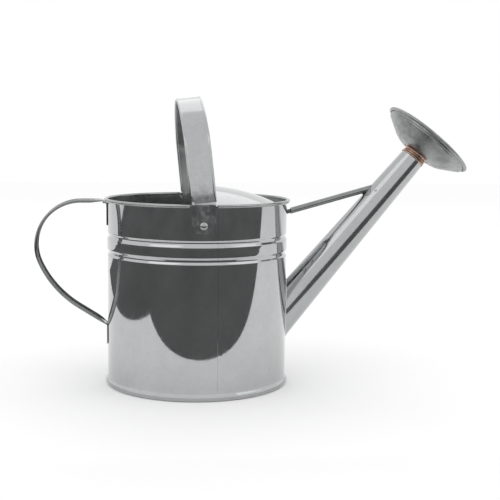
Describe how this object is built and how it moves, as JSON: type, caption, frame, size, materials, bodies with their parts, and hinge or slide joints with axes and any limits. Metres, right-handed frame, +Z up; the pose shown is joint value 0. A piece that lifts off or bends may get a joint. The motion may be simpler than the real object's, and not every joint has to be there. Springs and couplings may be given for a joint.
{
  "type": "watering can",
  "caption": "Galvanised sheet-steel watering can with an arched carrying handle, a looped rear handle, a braced straight spout and a screw-on sprinkler rose",
  "frame": {"origin": "centre of the circle that the can stands on, on the floor", "axes": "+Z up along the axis of the body, +X towards the spout, -X towards the rear handle"},
  "size_m": [0.4848, 0.2056, 0.3194],
  "materials": {
    "zinc_sheet": "hot-dip galvanised sheet with a fine spangle, bright",
    "zinc_satin": "galvanised sheet, satin",
    "copper_alloy": "turned copper-coloured alloy",
    "rubber": "matt black"
  },
  "bodies": {
    "can": {"body_wall": "zinc_sheet", "base": "zinc_sheet", "splash_cover": "zinc_sheet", "carry_handle": "zinc_sheet", "carry_rivet_near": "zinc_satin", "carry_rivet_far": "zinc_satin", "rear_handle": "zinc_satin", "spout": "zinc_satin", "spout_brace": "zinc_satin", "spout_ferrule": "copper_alloy"},
    "seal": {"rose_washer": "rubber"},
    "rose": {"rose_collar": "copper_alloy", "rose_back": "zinc_satin", "rose_face": "zinc_satin"}
  },
  "joints": [
    {"name": "rose_travel", "type": "slide", "parent": "can", "child": "seal", "axis": [0.6441, 0, 0.7649], "range_m": [0, 0.009]},
    {"name": "rose_turn", "type": "hinge", "parent": "seal", "child": "rose", "pos_m": [0.25781, 0, 0.26861], "axis": [0.6441, 0, 0.7649], "range_deg": [0, 1080]}
  ],
  "couplings": [
    {"joint": "rose_travel", "follows": "rose_turn", "m_per_rad": 0.00047746}
  ]
}
